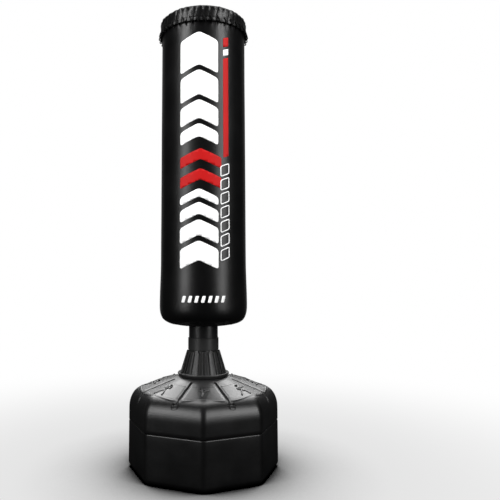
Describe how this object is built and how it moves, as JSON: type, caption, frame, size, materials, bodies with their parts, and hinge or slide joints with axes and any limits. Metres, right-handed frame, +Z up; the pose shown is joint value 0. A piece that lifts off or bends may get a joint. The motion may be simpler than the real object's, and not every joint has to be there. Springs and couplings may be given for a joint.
{
  "type": "free-standing punch bag",
  "caption": "Free-standing padded punch bag on a ribbed spring neck and a wide octagonal ballast base.",
  "frame": {"origin": "middle of the base, on the floor", "axes": "+Z up along the bag, -Y towards the person facing the plain striking side, +Y to the rear with the fill cap"},
  "size_m": [0.5698, 0.5698, 1.75],
  "materials": {
    "base_plastic": "satin",
    "neck_plastic": "satin",
    "neck_rubber": "satin",
    "cup_rubber": "matte",
    "sand": "matte",
    "zinc_steel": "satin",
    "black_steel": "satin",
    "spring_steel": "satin",
    "tube_paint": "satin",
    "nylon": "satin",
    "plywood": "matte",
    "foam": "matte",
    "cover_leather": "satin"
  },
  "bodies": {
    "base": {"base_lower_shell": "base_plastic", "base_upper_shell": "base_plastic", "suction_cups": "cup_rubber", "sand_fill": "sand", "anchor_plate": "zinc_steel", "anchor_tube": "zinc_steel", "lower_spring_plate": "black_steel", "plate_bolts": "zinc_steel", "neck_ring": "neck_plastic", "neck_boot": "neck_rubber", "boot_screws": "zinc_steel", "ball_stud": "zinc_steel", "stud_nut": "zinc_steel", "bump_stops": "neck_rubber", "coil_springs": "spring_steel", "lower_spring_seats": "black_steel"},
    "liner": {"socket_liner": "nylon"},
    "bag": {"ball_housing": "black_steel", "upper_spring_plate": "black_steel", "upper_spring_seats": "black_steel", "core_tube": "tube_paint", "tube_collar": "neck_plastic", "tube_plug": "neck_plastic", "support_ring": "black_steel", "lower_disc": "plywood", "core_sleeve": "neck_plastic", "firm_foam": "foam", "soft_foam": "foam", "bottom_pad": "foam", "top_disc": "plywood", "crown_pad": "foam", "bag_cover": "cover_leather", "top_cover": "cover_leather", "hem_band": "cover_leather"},
    "cap_seal": {"fill_cap_seal": "cup_rubber"},
    "cap": {"fill_cap": "neck_plastic"}
  },
  "joints": [
    {"name": "lean_front_back", "type": "hinge", "parent": "base", "child": "liner", "pos_m": [0, 0, 0.42227], "axis": [1, 0, 0], "range_deg": [-12, 12], "stiffness_Nm_per_rad": 1500, "deforming": ["neck_boot", "coil_springs"]},
    {"name": "lean_side_side", "type": "hinge", "parent": "liner", "child": "bag", "pos_m": [0, 0, 0.42227], "axis": [0, 1, 0], "range_deg": [-12, 12], "stiffness_Nm_per_rad": 1500},
    {"name": "cap_lift", "type": "slide", "parent": "base", "child": "cap_seal", "axis": [0, 0.2756, 0.9613], "range_m": [0, 0.006]},
    {"name": "cap_turn", "type": "hinge", "parent": "cap_seal", "child": "cap", "pos_m": [0, 0.19, 0.31245], "axis": [0, 0.2756, 0.9613], "range_deg": [0, 720]}
  ],
  "couplings": [
    {"joint": "cap_turn", "follows": "cap_lift", "rad_per_m": 2094.4}
  ]
}
